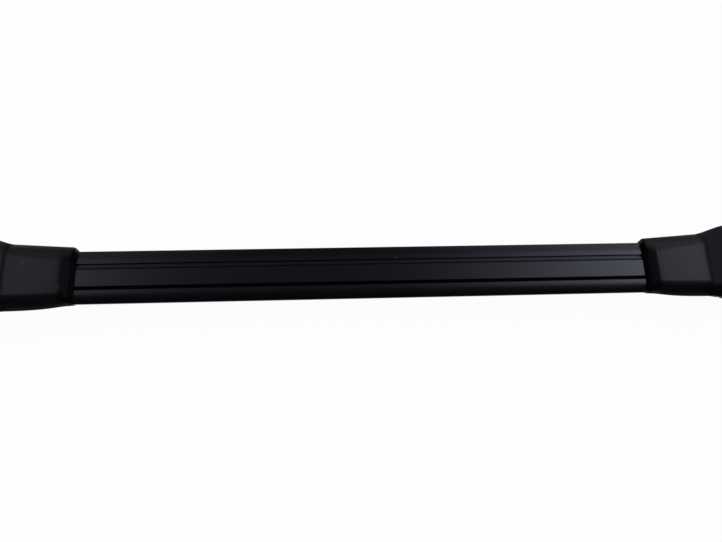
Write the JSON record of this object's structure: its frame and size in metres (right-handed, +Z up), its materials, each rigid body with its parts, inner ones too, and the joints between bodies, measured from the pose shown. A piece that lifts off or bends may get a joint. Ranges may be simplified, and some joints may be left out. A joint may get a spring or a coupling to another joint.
{
  "type": "roof rack crossbar",
  "caption": "Black roof rack crossbar: flattened hollow aluminium bar with strip-filled channels, on moulded feet whose screw clamps, under hinged end flaps, grip raised side rails.",
  "frame": {"origin": "middle of the bar's length and width, on the plane that the feet stand on", "axes": "+X along the bar to its right-hand end, -Y to the front edge, +Z up"},
  "size_m": [1.184, 0.1202, 0.0698],
  "materials": {
    "bar": "black anodised, satin",
    "strip": "matt",
    "cover": "fine-grained moulding",
    "casting": "black powder-coated die casting",
    "pad": "matt",
    "fastener": "zinc-plated"
  },
  "bodies": {
    "frame": {"bar_extrusion": "bar", "slot_strip_front": "strip", "slot_strip_rear": "strip", "foot_cover_right": "cover", "foot_base_right": "casting", "rail_pad_right": "pad", "clamp_nut_right": "fastener", "flap_pin_right": "fastener", "bar_screws_right": "fastener", "cover_screws_right": "fastener", "foot_cover_left": "cover", "foot_base_left": "casting", "rail_pad_left": "pad", "clamp_nut_left": "fastener", "flap_pin_left": "fastener", "bar_screws_left": "fastener", "cover_screws_left": "fastener"},
    "flap_right": {"end_flap_right": "cover"},
    "jaw_right": {"clamp_jaw_right": "casting", "jaw_pad_right": "pad", "bolt_washer_right": "fastener"},
    "bolt_right": {"clamp_bolt_right": "fastener", "bolt_clip_right": "fastener"},
    "flap_left": {"end_flap_left": "cover"},
    "jaw_left": {"clamp_jaw_left": "casting", "jaw_pad_left": "pad", "bolt_washer_left": "fastener"},
    "bolt_left": {"clamp_bolt_left": "fastener", "bolt_clip_left": "fastener"}
  },
  "joints": [
    {"name": "flap_right_swing", "type": "hinge", "parent": "frame", "child": "flap_right", "pos_m": [0.5758, 0, 0.0664], "axis": [0, -1, 0], "range_deg": [0, 95]},
    {"name": "jaw_right_slide", "type": "slide", "parent": "frame", "child": "jaw_right", "axis": [1, 0, 0], "range_m": [-0.002, 0.01]},
    {"name": "bolt_right_turn", "type": "hinge", "parent": "jaw_right", "child": "bolt_right", "pos_m": [0.5722, 0, 0.053], "axis": [1, 0, 0], "range_deg": [-721, 3601]},
    {"name": "flap_left_swing", "type": "hinge", "parent": "frame", "child": "flap_left", "pos_m": [-0.5758, 0, 0.0664], "axis": [0, 1, 0], "range_deg": [0, 95]},
    {"name": "jaw_left_slide", "type": "slide", "parent": "frame", "child": "jaw_left", "axis": [-1, 0, 0], "range_m": [-0.002, 0.01]},
    {"name": "bolt_left_turn", "type": "hinge", "parent": "jaw_left", "child": "bolt_left", "pos_m": [-0.5722, 0, 0.053], "axis": [-1, 0, 0], "range_deg": [-721, 3601]}
  ],
  "couplings": [
    {"joint": "bolt_right_turn", "follows": "jaw_right_slide", "rad_per_m": 6283.2},
    {"joint": "bolt_left_turn", "follows": "jaw_left_slide", "rad_per_m": 6283.2}
  ]
}
